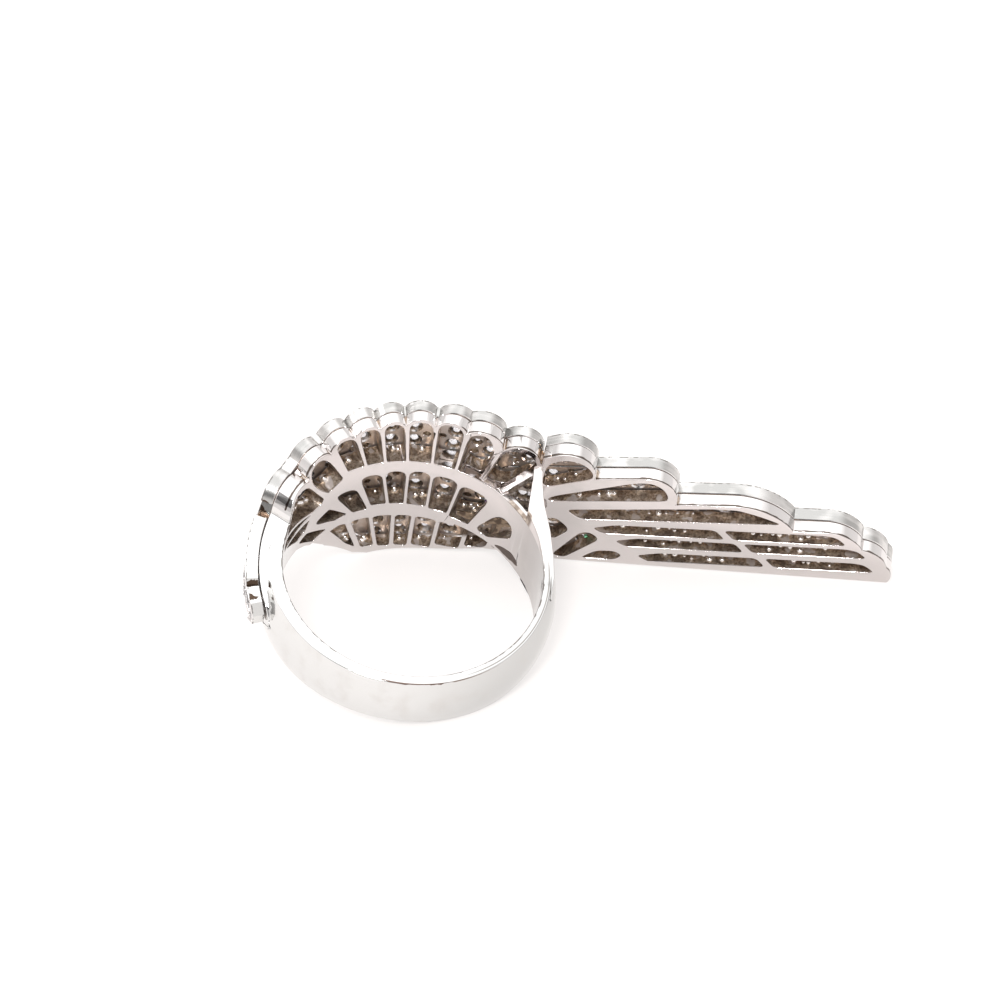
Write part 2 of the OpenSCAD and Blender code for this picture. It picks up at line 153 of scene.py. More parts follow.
def light_room():
    """A light tent, brightest overhead, with a dim gap behind the camera and two soft boxes."""
    tent_strength, gap_strength = 1.75, 0.22
    gap_direction = Vector((-0.15, -0.80, 0.58)).normalized()
    gap_edge, gap_core = 0.88, 0.96
    world = bpy.data.worlds.new("light_tent")
    bpy.context.scene.world = world
    world.use_nodes = True
    tree = world.node_tree
    tree.nodes.clear()
    where = add(tree, "ShaderNodeTexCoord").outputs["Generated"]
    height = add(tree, "ShaderNodeSeparateXYZ", {"Vector": where})
    tent = add(tree, "ShaderNodeValToRGB", {"Fac": height.outputs["Z"]})
    tent.color_ramp.elements.new(0.5)
    for stop, (position, colour) in zip(tent.color_ramp.elements,
                                        ((0.0, "#C9C6C5"), (0.6, "#BDBBBA"), (0.86, "#FFFFFF"))):
        stop.position = position
        stop.color = linear(colour)
    towards = add(tree, "ShaderNodeVectorMath", {0: where, 1: gap_direction}, operation="DOT_PRODUCT")
    strength = add(tree, "ShaderNodeMapRange", {
        "Value": towards, "From Min": gap_edge, "From Max": gap_core,
        "To Min": tent_strength, "To Max": gap_strength}, interpolation_type="SMOOTHSTEP")
    background = add(tree, "ShaderNodeBackground", {"Color": tent, "Strength": strength})
    add(tree, "ShaderNodeOutputWorld", {"Surface": background})
    for name, spot, size, power in (
        ("front_fill", (-0.02, -0.42, 0.46), 0.12, 2.6),
        ("soft_box_left", (-0.45, 0.05, 0.30), 0.25, 0.5),
    ):
        light = bpy.data.lights.new(name, "AREA")
        light.size = size
        light.energy = power
        lamp = in_scene(name, light)
        lamp.location = spot
        lamp.rotation_mode = "QUATERNION"
        lamp.rotation_quaternion = (-Vector(spot)).to_track_quat("-Z", "Y")
    bpy.context.scene.view_settings.view_transform = "Standard"


def lay_floor(material):
    """The table: a wide pale sheet under the ring's lowest points."""
    level = cad_box[0].z
    reach = 1.5
    corners = [(x * reach, y * reach, level) for x, y in ((-1, -1), (1, -1), (1, 1), (-1, 1))]
    mesh = bpy.data.meshes.new("floor")
    mesh.from_pydata(corners, [], [(0, 1, 2, 3)])
    mesh.materials.append(material)
    floor = in_scene("floor", mesh)


# Finishes

def new_material(name):
    """An empty material and its node tree."""
    material = bpy.data.materials.new(name)
    material.use_nodes = True
    material.node_tree.nodes.clear()
    return material, material.node_tree


def metal(name, colour, roughness, grain, grain_depth, wave_depth, metallic=1.0):
    """A mirror polish with the faint waves and fine scratches that a polishing wheel leaves; sizes in mm."""
    wave = 1.6
    smoothest, roughest = 0.7 * roughness, 1.4 * roughness
    material, tree = new_material(name)
    where = add(tree, "ShaderNodeTexCoord").outputs["Object"]
    waves = add(tree, "ShaderNodeTexNoise", {"Vector": where, "Scale": 1 / (wave * MM), "Detail": 2.0})
    scratches = add(tree, "ShaderNodeTexNoise", {"Vector": where, "Scale": 1 / (grain * MM), "Detail": 3.0})
    uneven = add(tree, "ShaderNodeMapRange", {"Value": scratches, "To Min": smoothest, "To Max": roughest})
    wavy = add(tree, "ShaderNodeBump", {"Height": waves, "Distance": wave_depth * MM})
    mottled = add(tree, "ShaderNodeBump", {"Height": scratches, "Distance": grain_depth * MM, "Normal": wavy})
    shader = add(tree, "ShaderNodeBsdfPrincipled", {
        "Base Color": linear(colour), "Metallic": metallic, "Roughness": uneven, "Normal": mottled})
    add(tree, "ShaderNodeOutputMaterial", {"Surface": shader})
    return material


def painted(tree, under, over, *limits):
    """A colour laid over another; a limit is a share, or a value with where its zone starts and is full."""
    share = 1.0
    for limit in limits:
        if isinstance(limit, tuple):
            value, outer_end, inner_end = limit
            limit = add(tree, "ShaderNodeMapRange", {
                "Value": value, "From Min": outer_end, "From Max": inner_end},
                interpolation_type="SMOOTHSTEP")
        share = add(tree, "ShaderNodeMath", {0: share, 1: limit}, operation="MULTIPLY")
    under, over = (linear(colour) if isinstance(colour, str) else colour for colour in (under, over))
    return add(tree, "ShaderNodeMix", {"Factor": share, "A": under, "B": over}, data_type="RGBA").outputs[2]


def recolour(material, colour):
    """Gives a finish a colour worked out by nodes."""
    shader = next(n for n in material.node_tree.nodes if n.type == "BSDF_PRINCIPLED")
    material.node_tree.links.new(colour, shader.inputs["Base Color"])
    return material


def polished_material():
    """White gold: a bright mirror, greyer in the gallery and darker on the band's right as painted
    reflections of the shaded table, with brown and grey painted reflections along the rim and painted shade
    behind a window.
    """
    material = metal("polished_white_gold", "#DDDAD9", 0.10, grain=0.12, grain_depth=0.0006,
                     wave_depth=0.010)
    tree = material.node_tree
    where = add(tree, "ShaderNodeTexCoord").outputs["Object"]
    place = add(tree, "ShaderNodeAttribute", attribute_name="ring_place").outputs["Vector"]
    split = add(tree, "ShaderNodeSeparateXYZ", {"Vector": place})
    x, y, z = (split.outputs[axis] for axis in "XYZ")
    level = add(tree, "ShaderNodeVectorMath", {0: place, 1: (1, 1, 0)}, operation="MULTIPLY")
    radius = add(tree, "ShaderNodeVectorMath", {0: level}, operation="LENGTH")
    cloud, broken = (
        add(tree, "ShaderNodeTexNoise", {"Vector": where, "Scale": 1 / (size * MM), "Detail": detail})
        for size, detail in ((1.3, 4.0), (0.55, 2.0)))
    front = (y, 2.5, 1.5)
    upper = (z, -0.12, -0.08)
    outside = (radius, 9.2, 9.25)

    # Painted reflections of the table: the band darker towards the right, where it mirrors the table shaded
    # by the wing, and the gallery greyer and darker lower down, where it mirrors the table shaded inside the
    # ring
    band = painted(tree, "#DFDFDE", "#CACAC9", (x, -1.0, 8.5))
    gallery = painted(tree, "#D1CBC9", "#E2DBD9", (z, -3.0, -0.4))
    tone = painted(tree, band, gallery, (y, 0.5, 5.0))

    # Painted reflection: the finger hole's wall on the right darker, where it mirrors the tent's dark side;
    # and smudges all over
    tone = painted(tree, tone, "#B2ADAB", (radius, 8.72, 8.68), (x, 5.0, 8.0), (z, -0.02, -0.08), 0.75)
    tone = painted(tree, tone, "#C9C5C1", (cloud, 0.45, 0.80), 0.35)

    # Painted dark reflection: a broken line along the upper rim's inner edge, away from the band's middle
    edge = add(tree, "ShaderNodeMapRange", {
        "Value": broken, "From Min": 0.35, "From Max": 0.62,
        "To Min": BORE_RADIUS + 0.02, "To Max": BORE_RADIUS + 0.09}, interpolation_type="SMOOTHSTEP")
    line = add(tree, "ShaderNodeMath", {0: radius, 1: edge}, operation="LESS_THAN")
    sideways = add(tree, "ShaderNodeMath", {0: x}, operation="ABSOLUTE")
    tone = painted(tree, tone, "#7F7975", line, front, upper, (sideways, 2.5, 4.5))

    # Painted dark reflection: a fine line along the rim on the right
    rim_reflection_line = add(tree, "ShaderNodeMath", {0: radius, 1: 9.02, 2: 0.035}, operation="COMPARE")
    tone = painted(tree, tone, "#8F8A86", rim_reflection_line, front, upper, (x, 4.0, 6.0))

    # Painted dark reflection: a brown wedge under the rim's outer edge, deepest to the right of the band's
    # middle
    offset = add(tree, "ShaderNodeMath", {0: x, 1: 2.4}, operation="SUBTRACT")
    beside = add(tree, "ShaderNodeMath", {0: offset}, operation="ABSOLUTE")
    near, depth = (
        add(tree, "ShaderNodeMapRange", {
            "Value": value, "From Min": low, "From Max": high, "To Min": at_low, "To Max": at_high},
            interpolation_type="SMOOTHSTEP")
        for value, low, high, at_low, at_high in ((beside, 3.2, 0.6, 0.0, 1.0),
                                                  (cloud, 0.40, 0.62, -0.03, -0.17)))
    reach = add(tree, "ShaderNodeMath", {0: near, 1: depth}, operation="MULTIPLY")
    wedge = add(tree, "ShaderNodeMath", {0: z, 1: reach}, operation="GREATER_THAN")
    tone = painted(tree, tone, "#75625A", (beside, 3.2, 3.1), wedge, outside, front)

    # Painted reflections: dark brown on the rim's outer lip on the right, and grey on the foot of the band,
    # where it mirrors the table
    tone = painted(tree, tone, "#8A7B72", (x, 3.7, 4.0), (x, 7.2, 6.4), (z, -0.09, -0.05), outside, front)
    tone = painted(tree, tone, "#A69FA0", (z, -4.2, -5.3), (x, -1.0, 5.0), outside, front, 0.6)

    # The top of the right shoulder, beside the post, painted a mottled brownish grey
    mottled = painted(tree, "#8F8176", "#BDB0A5", (broken, 0.42, 0.58))
    tone = painted(tree, tone, mottled, (z, -0.10, -0.05), (x, 5.3, 5.7), (x, 7.3, 7.1), (y, 4.8, 5.1),
                   (radius, 9.0, 8.9))

    # Painted shade, mottled brown, low behind the middle row's last window, on the face that shows through
    # it
    grime_and_shade = painted(tree, "#53453A", "#8A7866", (broken, 0.4, 0.6))
    tone = painted(tree, tone, grime_and_shade, (x, 2.1, 2.3), (x, 6.5, 6.1), (y, 8.8, 8.9), (z, -4.7, -5.1),
                   (z, -8.2, -7.6))
    return recolour(material, tone)


def seamed_material():
    """White gold walls of the gallery: a mirror with a dark seam that runs just behind the front edge."""
    seam_front, seam_back, seam_widest = 9.17, 9.24, 9.36
    material = metal("seamed_white_gold", "#E1DEDD", 0.10, grain=0.12, grain_depth=0.0006, wave_depth=0.010)
    tree = material.node_tree
    where = add(tree, "ShaderNodeTexCoord").outputs["Object"]
    outward = add(tree, "ShaderNodeAttribute", attribute_name="outward").outputs["Fac"]
    uneven = add(tree, "ShaderNodeTexNoise", {"Vector": where, "Scale": 1 / (0.9 * MM), "Detail": 2.0})
    back = add(tree, "ShaderNodeMapRange", {
        "Value": uneven, "From Min": 0.35, "From Max": 0.65, "To Min": seam_back, "To Max": seam_widest})
    behind_front = add(tree, "ShaderNodeMath", {0: outward, 1: seam_front}, operation="GREATER_THAN")
    before_back = add(tree, "ShaderNodeMath", {0: outward, 1: back}, operation="LESS_THAN")
    return recolour(material, painted(tree, "#E1DEDD", "#6A605A", behind_front, before_back))


def stone_material():
    """Brilliant-cut colourless stone: clear, with diamond's high index, so the facets flash."""
    material, tree = new_material("cut_diamond")
    shader = add(tree, "ShaderNodeBsdfPrincipled", {
        "Base Color": linear("#FBFBFF"), "Transmission Weight": 1.0, "Roughness": 0.0, "IOR": 2.42})
    add(tree, "ShaderNodeOutputMaterial", {"Surface": shader})
    return material


def recess_material():
    """Casting skin in windows and seats: unpolished and browned by old paste, cleaner near the front, and
    kept darker than the metal as painted shade.
    """
    front, back = 9.15, 10.1
    material, tree = new_material("recess_skin")
    where = add(tree, "ShaderNodeTexCoord").outputs["Object"]
    outward = add(tree, "ShaderNodeAttribute", attribute_name="outward").outputs["Fac"]
    depth = add(tree, "ShaderNodeMapRange", {"Value": outward, "From Min": front, "From Max": back})
    grime_and_shade = add(tree, "ShaderNodeTexNoise", {
        "Vector": where, "Scale": 1 / (0.16 * MM), "Detail": 4.0, "Roughness": 0.7})
    clean = add(tree, "ShaderNodeValToRGB", {"Fac": grime_and_shade})
    dirty = add(tree, "ShaderNodeValToRGB", {"Fac": grime_and_shade})
    # Painted shade: these browns stay darker than the polished metal, so that windows and seats look shaded
    for ramp, low, high in ((clean, "#827060", "#E0D3C4"), (dirty, "#85705C", "#F0D8BD")):
        ramp.color_ramp.elements[0].position = 0.36
        ramp.color_ramp.elements[0].color = linear(low)
        ramp.color_ramp.elements[1].position = 0.66
        ramp.color_ramp.elements[1].color = linear(high)
    patches = add(tree, "ShaderNodeTexNoise", {"Vector": where, "Scale": 1 / (0.75 * MM), "Detail": 1.0})
    tint = painted(tree, clean, dirty, depth)
    tint = painted(tree, tint, "#F2EBE8", (patches, 0.59, 0.64), 0.8)
    tint = painted(tree, tint, "#50413A", (patches, 0.48, 0.38), 0.55)
    bumps = add(tree, "ShaderNodeBump", {"Height": grime_and_shade, "Distance": 0.02 * MM})
    shader = add(tree, "ShaderNodeBsdfPrincipled", {
        "Base Color": tint, "Metallic": 0.85, "Roughness": 0.32, "Normal": bumps})
    add(tree, "ShaderNodeOutputMaterial", {"Surface": shader})
    return material


# Painted shade in the joints between feather tips at the left end, in mm: place along the plate, half width,
# and the distances outwards where the joint is widest and where it closes
NOTCHES = (
    (-15.05, 0.50, 11.3, 9.6),
    (-20.60, 0.20, 10.6, 11.5),
    (-20.75, 0.16, 11.0, 9.9),
    (-21.75, 0.22, 10.9, 10.3),
)


def side_material():
    """A plate's side wall, filed along its length: the polish keeps fine lines and dull stretches, with
    painted shade that greys it and darkens its notches, painted light at its left end and a painted dark
    reflection along its outer edge.
    """
    material, tree = new_material("filed_side")
    spread = add(tree, "ShaderNodeAttribute", attribute_name="spread").outputs["Vector"]
    split = add(tree, "ShaderNodeSeparateXYZ", {"Vector": spread})
    along, outwards = split.outputs["X"], split.outputs["Z"]

    # File lines 2.5 mm long and 0.28 mm apart, over dull stretches of 1.3 by 2 mm; scales are 1 / size
    drawn_out = []
    for stretch, detail in (((0.4, 0.4, 3.6), 2.0), ((0.75, 0.75, 0.5), 1.0)):
        stretched = add(tree, "ShaderNodeMapping", {"Vector": spread, "Scale": stretch})
        drawn_out.append(add(tree, "ShaderNodeTexNoise", {
            "Vector": stretched, "Scale": 1.0, "Detail": detail}))
    lines, stretches = drawn_out
    both = add(tree, "ShaderNodeMath", {0: lines, 1: 0.3, 2: stretches}, operation="MULTIPLY_ADD")
    tone = add(tree, "ShaderNodeMapRange", {"Value": both, "From Min": 0.55, "From Max": 0.76})
    # Painted shade: the side wall's greys are darker than the plates' own metal
    tint = add(tree, "ShaderNodeValToRGB", {"Fac": tone})
    tint.color_ramp.elements[0].color = linear("#B2B1AF")
    tint.color_ramp.elements[1].color = linear("#D6D4D2")
    # Painted light: the side walls brighten towards the left end
    shade = painted(tree, tint, "#ECECEA", (along, -13.5, -16.0), 0.75)

    # Each notch of painted shade narrows from its open end to its shut end, with an edge ragged every 0.4 mm
    ragged = add(tree, "ShaderNodeTexNoise", {"Vector": spread, "Scale": 2.6, "Detail": 2.0})
    for middle, half, open_end, shut_end in NOTCHES:
        narrowing, uneven = (
            add(tree, "ShaderNodeMapRange", {
                "Value": value, "From Min": low, "From Max": high, "To Min": at_low, "To Max": at_high},
                interpolation_type="SMOOTHSTEP")
            for value, low, high, at_low, at_high in ((outwards, open_end, shut_end, half, 0.0),
                                                      (ragged, 0.3, 0.7, 0.5, 1.5)))
        width = add(tree, "ShaderNodeMath", {0: narrowing, 1: uneven}, operation="MULTIPLY")
        notch = add(tree, "ShaderNodeMath", {0: along, 1: middle, 2: width}, operation="COMPARE")
        shade = painted(tree, shade, "#57483D", notch)

    # A painted dark reflection along the outer edge, drawn wider than the real one so that it shows against
    # the pale floor
    below = add(tree, "ShaderNodeAttribute", attribute_name="below_face").outputs["Fac"]
    thread = add(tree, "ShaderNodeMapRange", {
        "Value": ragged, "From Min": 0.42, "From Max": 0.60, "To Min": 0.03, "To Max": 0.12},
        interpolation_type="SMOOTHSTEP")
    dark_edge_reflection = add(tree, "ShaderNodeMath", {0: below, 1: thread}, operation="LESS_THAN")
    shade = painted(tree, shade, "#7F7D7A", dark_edge_reflection)
    filed = add(tree, "ShaderNodeBump", {"Height": lines, "Distance": 0.012 * MM})
    shader = add(tree, "ShaderNodeBsdfPrincipled", {
        "Base Color": shade, "Metallic": 1.0, "Roughness": 0.22, "Normal": filed})
    add(tree, "ShaderNodeOutputMaterial", {"Surface": shader})
    return material


def floor_material():
    """Opal sheet of a light table: pale, matt and lit a little from below."""
    material, tree = new_material("light_table")
    shader = add(tree, "ShaderNodeBsdfPrincipled", {
        "Base Color": linear("#969290"), "Roughness": 0.9, "Emission Color": linear("#FFFDFC"),
        "Emission Strength": 0.67})
    add(tree, "ShaderNodeOutputMaterial", {"Surface": shader})
    return material


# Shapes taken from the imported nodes

# How near each other two points are one, in metres, and how near a level a point is on it, in mm. Then the
# angles up to which two faces are one, up to which they look smooth, and past which their edge is eased.
MERGE = 0.002 * MM
FLUSH = 0.01
SAME_FACE = math.radians(0.6)
SMOOTH_EDGE = math.radians(28)
EASED_EDGE = math.radians(40)


def outward_distance(points):
    """How far outwards points of the ring's frame lie."""
    return np.where(points[:, 0] < 0, np.hypot(points[:, 0], points[:, 1]), points[:, 1])


def merged_shell(name):
    """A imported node's mesh as one closed shell with its flat faces whole."""
    shell = bmesh.new()
    shell.from_mesh(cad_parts[name].data)
    bmesh.ops.remove_doubles(shell, verts=shell.verts, dist=MERGE)
    bmesh.ops.dissolve_limit(shell, angle_limit=SAME_FACE, verts=shell.verts, edges=shell.edges)
    return shell


def drop_slivers(shell):
    """Keeps the largest run of faces; the rest are slivers on edges that two other faces already close."""
    runs, seen = [], set()
    for first in shell.faces:
        if first in seen:
            continue
        run, front = [], [first]
        seen.add(first)
        while front:
            face = front.pop()
            run.append(face)
            for edge in face.edges:
                beside = [other for other in edge.link_faces if other not in seen]
                if len(edge.link_faces) == 2 and beside:
                    seen.add(beside[0])
                    front.append(beside[0])
        runs.append(run)
    largest = max(runs, key=len)
    slivers = [face for run in runs if run is not largest for face in run]
    bmesh.ops.delete(shell, geom=slivers, context="FACES")


def finish_mesh(shell, name, materials):
    """Turns a bmesh into a linked object, smooth except at its edges."""
    mesh = bpy.data.meshes.new(name)
    shell.to_mesh(mesh)
    shell.free()
    mesh.shade_smooth()
    mesh.set_sharp_from_angle(angle=SMOOTH_EDGE)
    for material in materials:
        mesh.materials.append(material)
    return in_scene(name, mesh)


def applied(piece):
    """Applies all modifiers of a piece to a mesh of its own."""
    graph = bpy.context.evaluated_depsgraph_get()
    mesh = bpy.data.meshes.new_from_object(
        piece.evaluated_get(graph), preserve_all_data_layers=True, depsgraph=graph)
    piece.modifiers.clear()
    old = piece.data
    piece.data = mesh
    bpy.data.meshes.remove(old)
    mesh.name = piece.name
    return piece


def weld(piece):
    """Welds points that a bevel leaves on top of each other and drops slivers that lie back to back."""
    touching = MERGE / 20
    mesh = piece.data
    normals = np.empty(len(mesh.loops) * 3, np.float32)
    mesh.corner_normals.foreach_get("vector", normals)
    mesh.attributes.new("kept_normal", "FLOAT_VECTOR", "CORNER").data.foreach_set("vector", normals)
    shell = bmesh.new()
    shell.from_mesh(mesh)
    bmesh.ops.remove_doubles(shell, verts=shell.verts, dist=touching)
    bmesh.ops.dissolve_degenerate(shell, dist=touching, edges=shell.edges)
    bmesh.ops.triangulate(shell, faces=shell.faces)
    same_corners = {}
    for face in shell.faces:
        same_corners.setdefault(frozenset(face.verts), []).append(face)
    doubled = [face for faces in same_corners.values() if len(faces) > 1 for face in faces]
    bmesh.ops.delete(shell, geom=doubled, context="FACES")
    shell.to_mesh(mesh)
    shell.free()
    normals = np.empty(len(mesh.loops) * 3, np.float32)
    mesh.attributes["kept_normal"].data.foreach_get("vector", normals)
    mesh.attributes.remove(mesh.attributes["kept_normal"])
    mesh.normals_split_custom_set(normals.reshape(-1, 3).tolist())


def surrounded(tree, centre, normal, outward, reach):
    """Whether a wall face sees another wall ahead and to one side at least, as a window's does."""
    clear_of_face = 0.02 * MM
    start = centre + normal * clear_of_face
    hits = []
    for turn in (-35, 0, 35):
        direction = normal.copy()
        direction.rotate(Matrix.Rotation(math.radians(turn), 3, outward))
        hits.append(tree.ray_cast(start, direction, reach)[0] is not None)
    return hits[1] and (hits[0] or hits[2])


def store(mesh, **values):
    """Keeps values at a mesh's points, each under its name: one number a point, or three."""
    for name, value in values.items():
        value = np.asarray(value, np.float32)
        kind, field = ("FLOAT_VECTOR", "vector") if value.ndim > 1 else ("FLOAT", "value")
        mesh.attributes.new(name, kind, "POINT").data.foreach_set(field, value.ravel())


def mark(piece, outer=0.0):
    """Keeps each point's place, distance outwards and depth under a plate's face, in mm, for finishes."""
    points = np.empty(len(piece.data.vertices) * 3)
    piece.data.vertices.foreach_get("co", points)
    ring = to_ring(points.reshape(-1, 3))
    distance = outward_distance(ring).astype(np.float32)
    store(piece.data, outward=distance, below_face=outer - distance, ring_place=ring)


def solder_grains(tree, sills):
    """Bright grains of solder low in the windows, where the feather plates are joined on."""
    chance = np.random.default_rng(7)
    head_step, wing_step, straying = 0.48, 0.62, 0.16
    depths = (9.55, 9.72, 9.82, 9.86, 9.9)
    head_sizes, wing_sizes = (0.16, 0.22, 0.28, 0.34), (0.12, 0.16, 0.2, 0.24)
    drop_from, deepest_sill, highest_roof = 0.3, 0.9 * MM, 4.5 * MM
    share_kept = 0.8
    inwards, upwards = -0.6, (0, 0, 0.8)
    left_gap, right_gap = 0.25, 0.15
    places, facing, sizes = [], [], []
    for low, high, height in sills:
        for along in np.arange(low + left_gap, high - right_gap, wing_step if high > 1 else head_step):
            along += chance.uniform(-straying, straying)
            distance = chance.choice(depths)
            size = chance.choice(wing_sizes if along > 0 else head_sizes)
            start, away = roll(np.array([(along, height + drop_from)]), distance, WINDOW_MIDDLE)
            start = Vector(to_row(start)[0])
            hit = tree.ray_cast(start, -UPWARD, deepest_sill)[0]
            roofed = tree.ray_cast(start, UPWARD, highest_roof)[0] is not None
            if hit is not None and roofed and chance.random() < share_kept:
                places.append(to_ring([hit])[0])
                facing.append(inwards * away[0] + upwards)
                sizes.append(size)
    grains = place_copies("solder_grains", BEAD, np.array(places), np.array(facing), sizes, GRAIN)
    grains.data.shade_smooth()
    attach(grains, "root")


def make_shank_and_gallery():
    """The band and gallery, with the windows' walls left dark and the edges eased."""
    window_skin, seamed_skin = 1, 2
    widest_window = 14 * MM
    wing_inside = 9.0
    window_lean, sill_rise = 0.5, 0.7
    seam_lean, seam_rise, seam_bottom = 0.3, -0.3, 0.8
    ease = 0.06 * MM
    shell = merged_shell("shank_and_gallery")
    bmesh.ops.remove_doubles(shell, verts=shell.verts, dist=6 * MERGE)
    bmesh.ops.dissolve_degenerate(shell, dist=MERGE / 2, edges=shell.edges)
    drop_slivers(shell)
    shell.normal_update()
    tree = BVHTree.FromBMesh(shell)
    sills = []
    for face in shell.faces:
        centre = face.calc_center_median()
        spot = to_ring([centre])[0]
        on_wing = spot[0] > 0 and spot[1] > wing_inside
        away = Vector(direction_to_row([(0, 1, 0) if on_wing else (spot[0], spot[1], 0)])[0]).normalized()
        lean = abs(face.normal.dot(away))
        rise = face.normal.dot(UPWARD)
        if lean < window_lean and surrounded(tree, centre, face.normal, away, widest_window):
            face.material_index = window_skin
            if rise > sill_rise:
                along = unroll(to_ring([v.co for v in face.verts]), WINDOW_MIDDLE)[:, 0]
                sills.append((min(along), max(along), spot[2]))
        elif lean < seam_lean and rise > seam_rise and (on_wing or spot[2] > seam_bottom):
            face.material_index = seamed_skin

    # Where the strut and the post meet the gallery, the walls are too crowded for a bevel
    eased = shell.edges.layers.float.new("bevel_weight_edge")
    for edge in shell.edges:
        ends = to_ring([vert.co for vert in edge.verts])
        spot = ends.mean(0)
        near_strut = any(6.3 < x < 7.1 and y > wing_inside and 0.3 < z < 1.5 for x, y, z in ends)
        near_post = 5.5 < spot[0] < 10.9 and 1.2 < spot[2] < 4.2
        if edge.is_manifold and not (near_strut or near_post) and edge.calc_face_angle() > EASED_EDGE:
            edge[eased] = 1.0
    piece = finish_mesh(shell, "polished_shank_and_gallery", [POLISHED, RECESS, SEAMED])
    bevel = piece.modifiers.new("eased_edges", "BEVEL")
    bevel.width = ease
    bevel.segments = 2
    bevel.limit_method = "WEIGHT"
    bevel.use_clamp_overlap = False
    bevel.material = 0
    bevel.harden_normals = True
    applied(piece)
    weld(piece)
    mark(piece)
    solder_grains(tree, sills)
    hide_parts("shank_and_gallery")
    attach(piece, "root")


def closing_skin(name, corners, inside, outside, finish):
    """Metal skin across an opening that no feather covers, bright where it meets the outside."""
    corners = np.array(corners)
    shell = bmesh.new()
    rings = []
    for distance in (inside, outside):
        angles = -np.radians(corners[:, 0])
        places = np.stack([np.sin(angles) * distance, np.cos(angles) * distance, corners[:, 1]], 1)
        rings.append([shell.verts.new(p) for p in to_row(places)])
    count = len(corners)
    shell.faces.new(rings[0])
    shell.faces.new(rings[1][::-1])
    for k in range(count):
        after = (k + 1) % count
        shell.faces.new((rings[0][k], rings[1][k], rings[1][after], rings[0][after]))
    bmesh.ops.recalc_face_normals(shell, faces=shell.faces)
    bmesh.ops.subdivide_edges(shell, edges=shell.edges, cuts=1, use_grid_fill=True)
    for face in shell.faces:
        distances = outward_distance(to_ring([v.co for v in face.verts]))
        face.material_index = int(min(distances) > inside + FLUSH)
    piece = finish_mesh(shell, name, [finish, POLISHED])
    mark(piece)
    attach(piece, "root")


def stone_flashes():
    """Two mirror-smooth beads behind the windows, tinted green and violet: painted coloured glints that
    stand in for the stones' flashes of colour.
    """
    for name, place, size, colour in (
        ("green_flash", (11.3, 9.92, -6.55), 0.15, "#93E6BC"),
        ("violet_flash", (4.1, 8.95, -3.38), 0.12, "#A99BEA"),
    ):
        finish = metal(name, colour, 0.10, grain=0.10, grain_depth=0.0006, wave_depth=0.004)
        flash = place_copies(name, BEAD, np.array([place]), np.array([(0.0, -0.6, 0.8)]), [size], finish)
        flash.data.shade_smooth()
        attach(flash, "root")


# Stones set in the feather plates

# In mm: a feather's rim, the slope inside it and the field's depth, the eased edge, the longest side of an
# outline, the radii of stones and beads, how near stones come, how far beads sink in, and the search grid
RIM = 0.11
BRIGHT_CUT = 0.05
FIELD_DROP = 0.17
EASE = 0.04
STEP = 0.3
STONE_SIZES = (0.66, 0.6, 0.54, 0.48, 0.42, 0.36, 0.3)
BEAD_SIZE = 0.13
STONE_GAP = 0.06
BEAD_OVERLAP = 0.05
GRID = 0.07

# The seat under each stone, as shares of its radius: its mouth, its depth, its waist, its neck and its back
SEAT_MOUTH = 0.98
SEAT_DEPTH = 0.42
SEAT_WAIST = 0.7
SEAT_NECK = 0.74
BACK_HOLE = 0.88

# Stands in for nothing where a side without length or height would divide by it
NEXT_TO_NOTHING = 1e-12


def unroll(points, radius):
    """The plates' outer face laid flat: millimetres round the head and along the wing, and height."""
    along = np.where(points[:, 0] < 0, -np.arctan2(-points[:, 0], points[:, 1]) * radius, points[:, 0])
    return np.stack([along, points[:, 2]], 1)


def roll(flat, distance, radius):
    """From the unrolled face to places of the ring's frame at a distance outwards, with their directions."""
    angle = np.minimum(flat[:, 0], 0) / radius
    outward = np.stack([np.sin(angle), np.cos(angle), np.zeros(len(flat))], 1)
    places = outward * distance
    places[:, 0] += np.maximum(flat[:, 0], 0)
    places[:, 2] = flat[:, 1]
    return places, outward


def plate_outline(shell, outer):
    """The outline of a plate's outer face, unrolled, as one loop that runs counterclockwise."""
    shell.verts.ensure_lookup_table()
    distance = outward_distance(to_ring([v.co for v in shell.verts]))
    top = {f for f in shell.faces if all(distance[v.index] > outer - FLUSH for v in f.verts)}
    border = [e for e in shell.edges if sum(f in top for f in e.link_faces) == 1]
    after = {}
    for edge in border:
        for one, other in (edge.verts, reversed(edge.verts)):
            after.setdefault(one.index, []).append(other.index)
    loops, seen = [], set()
    for start in after:
        loop, here = [], start
        while here is not None and here not in seen:
            seen.add(here)
            loop.append(here)
            here = next((n for n in after[here] if n not in seen), None)
        loops.append(loop)
    longest = max(loops, key=len)
    outline = unroll(to_ring([shell.verts[i].co for i in longest]), outer)
    return outline if signed_area(outline) > 0 else outline[::-1]


def signed_area(loop):
    """An outline's area, positive where it runs counterclockwise."""
    after = np.roll(loop, -1, 0)
    return 0.5 * float((loop[:, 0] * after[:, 1] - after[:, 0] * loop[:, 1]).sum())


def spaced(loop, step):
    """An outline with points added so that no side is longer than a step and none is next to nothing."""
    shortest = 0.02
    points = []
    for here, after in zip(loop, np.roll(loop, -1, 0)):
        length = float(np.hypot(*(after - here)))
        if length < shortest:
            continue
        parts = max(1, math.ceil(length / step))
        for k in range(parts):
            points.append(here + (after - here) * k / parts)
    return np.array(points)


def strip(loop, low, high):
    """The part of an outline between two places along the plate."""
    for limit, side in ((low, 1), (high, -1)):
        kept = []
        for here, after in zip(loop, np.roll(loop, -1, 0)):
            a, b = side * (here[0] - limit), side * (after[0] - limit)
            if a >= 0:
                kept.append(here)
            if (a < 0) != (b < 0):
                kept.append(here + (after - here) * a / (a - b))
        loop = np.array(kept)
    return loop


